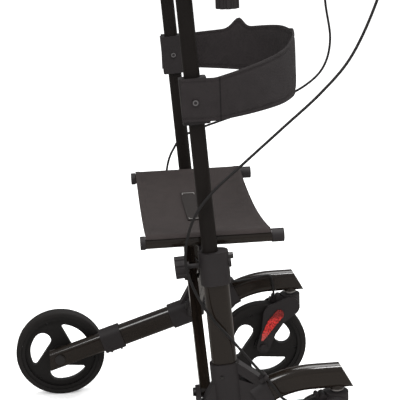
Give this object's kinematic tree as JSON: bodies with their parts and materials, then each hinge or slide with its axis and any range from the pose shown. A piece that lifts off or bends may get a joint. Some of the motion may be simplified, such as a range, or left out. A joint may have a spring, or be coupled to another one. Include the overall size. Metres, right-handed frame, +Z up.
{
  "type": "upright_walker",
  "caption": "Folding upright walker with forearm rests, fabric seat, padded backrest strap, telescoping posts, swivelling front wheels and cable brakes.",
  "frame": {"origin": "on the floor under the middle of the walker's box", "axes": "X points forward, Y to the walker's left, Z up"},
  "size_m": [0.7278, 0.6406, 1.1662],
  "materials": {
    "frame_paint": "dark metallic gloss paint on aluminium tube",
    "post_paint": "satin black paint on aluminium tube",
    "moulding": "fine-grained charcoal",
    "wheel_plastic": "satin charcoal",
    "steel": "zinc plated",
    "cable_jacket": "satin black sheath",
    "grip_rubber": "soft matt",
    "pad_cover": "grained black cover",
    "reflector": "red prismatic",
    "tyre": "matt grey-black",
    "seat_cloth": "coarse woven",
    "webbing": "ribbed webbing",
    "strap_cloth": "padded mesh cloth"
  },
  "bodies": {
    "right_frame": {"right_main_tube": "frame_paint", "right_hub": "moulding", "right_front_arm": "frame_paint", "right_rear_leg": "frame_paint", "right_leg_extension": "frame_paint", "right_leg_collar": "moulding", "right_post_collar": "moulding", "right_frame_bolts": "steel", "right_brake_cable": "cable_jacket"},
    "right_post": {"right_post": "post_paint", "right_rest_bracket": "moulding", "right_handle_tube": "post_paint", "right_grip": "grip_rubber", "right_brake_body": "moulding", "backrest_strap": "strap_cloth"},
    "right_armrest": {"right_armrest_tray": "moulding", "right_armrest_pad": "pad_cover"},
    "right_brake_lever": {"right_brake_lever": "moulding"},
    "right_post_knob": {"right_post_knob": "moulding"},
    "right_armrest_knob": {"right_armrest_knob": "moulding"},
    "right_brake_shoe": {"right_brake_shoe": "moulding"},
    "right_fork": {"right_fork": "wheel_plastic", "right_reflectors": "reflector"},
    "right_front_wheel": {"right_front_rim": "wheel_plastic", "right_front_tyre": "tyre"},
    "right_rear_wheel": {"right_rear_rim": "wheel_plastic", "right_rear_tyre": "tyre"},
    "left_frame": {"left_main_tube": "frame_paint", "left_hub": "moulding", "left_front_arm": "frame_paint", "left_rear_leg": "frame_paint", "left_leg_extension": "frame_paint", "left_leg_collar": "moulding", "left_post_collar": "moulding", "left_frame_bolts": "steel", "left_brake_cable": "cable_jacket"},
    "left_post": {"left_post": "post_paint", "left_rest_bracket": "moulding", "left_handle_tube": "post_paint", "left_grip": "grip_rubber", "left_brake_body": "moulding"},
    "left_armrest": {"left_armrest_tray": "moulding", "left_armrest_pad": "pad_cover"},
    "left_brake_lever": {"left_brake_lever": "moulding"},
    "left_post_knob": {"left_post_knob": "moulding"},
    "left_armrest_knob": {"left_armrest_knob": "moulding"},
    "left_brake_shoe": {"left_brake_shoe": "moulding"},
    "left_fork": {"left_fork": "wheel_plastic", "left_reflectors": "reflector"},
    "left_front_wheel": {"left_front_rim": "wheel_plastic", "left_front_tyre": "tyre"},
    "left_rear_wheel": {"left_rear_rim": "wheel_plastic", "left_rear_tyre": "tyre"},
    "cross_a": {"cross_frame_a": "frame_paint", "cross_bolt": "steel", "left_rail_caps": "moulding", "seat_sheet": "seat_cloth", "seat_pull_strap": "webbing"},
    "cross_b": {"cross_frame_b": "frame_paint", "right_rail_caps": "moulding"}
  },
  "joints": [
    {"name": "fold", "type": "hinge", "parent": "right_frame", "child": "cross_a", "pos_m": [0.019, -0.228, 0.219], "axis": [1, 0, 0], "range_deg": [0, 31], "deforming": ["seat_sheet", "seat_pull_strap", "backrest_strap"]},
    {"name": "cross_pivot", "type": "hinge", "parent": "cross_a", "child": "cross_b", "pos_m": [0.019, 0, 0.36586], "axis": [1, 0, 0], "range_deg": [-62, 0]},
    {"name": "left_pivot", "type": "hinge", "parent": "cross_b", "child": "left_frame", "pos_m": [0.0405, 0.228, 0.219], "axis": [1, 0, 0], "range_deg": [0, 31]},
    {"name": "right_post_slide", "type": "slide", "parent": "right_frame", "child": "right_post", "axis": [-0.0628, 0, 0.998], "range_m": [0, 0.17], "deforming": ["right_brake_cable"]},
    {"name": "right_armrest_slide", "type": "slide", "parent": "right_post", "child": "right_armrest", "axis": [1, 0, 0], "range_m": [-0.02, 0.03]},
    {"name": "right_lever_squeeze", "type": "hinge", "parent": "right_post", "child": "right_brake_lever", "pos_m": [0.2748, -0.264, 1.14823], "axis": [0, 1, 0], "range_deg": [0, 14], "stiffness_Nm_per_rad": 1.5, "springref_deg": -11.46},
    {"name": "right_post_knob_turn", "type": "hinge", "parent": "right_frame", "child": "right_post_knob", "pos_m": [0.0405, -0.264, 0.47954], "axis": [0.998, 0, 0.0628], "range_deg": [0, 360]},
    {"name": "right_armrest_knob_turn", "type": "hinge", "parent": "right_armrest", "child": "right_armrest_knob", "pos_m": [0.0788, -0.264, 0.94523], "axis": [0, 0, 1], "range_deg": [0, 360]},
    {"name": "right_fork_swivel", "type": "hinge", "parent": "right_frame", "child": "right_fork", "pos_m": [0.258, -0.264, 0.2], "axis": [0, 0, 1], "range_deg": [-45, 45], "deforming": ["right_brake_cable"]},
    {"name": "right_shoe_press", "type": "hinge", "parent": "right_fork", "child": "right_brake_shoe", "pos_m": [0.23117, -0.264, 0.209], "axis": [0, 1, 0], "range_deg": [-2.8, 0]},
    {"name": "right_front_spin", "type": "hinge", "parent": "right_fork", "child": "right_front_wheel", "pos_m": [0.1915, -0.264, 0.1], "axis": [0, 1, 0], "continuous": true},
    {"name": "right_rear_spin", "type": "hinge", "parent": "right_frame", "child": "right_rear_wheel", "pos_m": [-0.268, -0.299, 0.1], "axis": [0, 1, 0], "continuous": true},
    {"name": "left_post_slide", "type": "slide", "parent": "left_frame", "child": "left_post", "axis": [-0.0628, 0, 0.998], "range_m": [0, 0.17], "deforming": ["left_brake_cable"]},
    {"name": "left_armrest_slide", "type": "slide", "parent": "left_post", "child": "left_armrest", "axis": [1, 0, 0], "range_m": [-0.02, 0.03]},
    {"name": "left_lever_squeeze", "type": "hinge", "parent": "left_post", "child": "left_brake_lever", "pos_m": [0.2748, 0.264, 1.14823], "axis": [0, 1, 0], "range_deg": [0, 14], "stiffness_Nm_per_rad": 1.5, "springref_deg": -11.46},
    {"name": "left_post_knob_turn", "type": "hinge", "parent": "left_frame", "child": "left_post_knob", "pos_m": [0.0405, 0.264, 0.47954], "axis": [0.998, 0, 0.0628], "range_deg": [0, 360]},
    {"name": "left_armrest_knob_turn", "type": "hinge", "parent": "left_armrest", "child": "left_armrest_knob", "pos_m": [0.0788, 0.264, 0.94523], "axis": [0, 0, 1], "range_deg": [0, 360]},
    {"name": "left_fork_swivel", "type": "hinge", "parent": "left_frame", "child": "left_fork", "pos_m": [0.258, 0.264, 0.2], "axis": [0, 0, 1], "range_deg": [-45, 45], "deforming": ["left_brake_cable"]},
    {"name": "left_shoe_press", "type": "hinge", "parent": "left_fork", "child": "left_brake_shoe", "pos_m": [0.23117, 0.264, 0.209], "axis": [0, 1, 0], "range_deg": [-2.8, 0]},
    {"name": "left_front_spin", "type": "hinge", "parent": "left_fork", "child": "left_front_wheel", "pos_m": [0.1915, 0.264, 0.1], "axis": [0, 1, 0], "continuous": true},
    {"name": "left_rear_spin", "type": "hinge", "parent": "left_frame", "child": "left_rear_wheel", "pos_m": [-0.268, 0.299, 0.1], "axis": [0, 1, 0], "continuous": true}
  ],
  "couplings": [
    {"joint": "cross_pivot", "follows": "fold", "ratio": -2},
    {"joint": "left_pivot", "follows": "fold", "ratio": 1},
    {"joint": "left_post_slide", "follows": "right_post_slide", "ratio": 1},
    {"joint": "right_shoe_press", "follows": "right_lever_squeeze", "ratio": -0.2},
    {"joint": "left_shoe_press", "follows": "left_lever_squeeze", "ratio": -0.2}
  ]
}
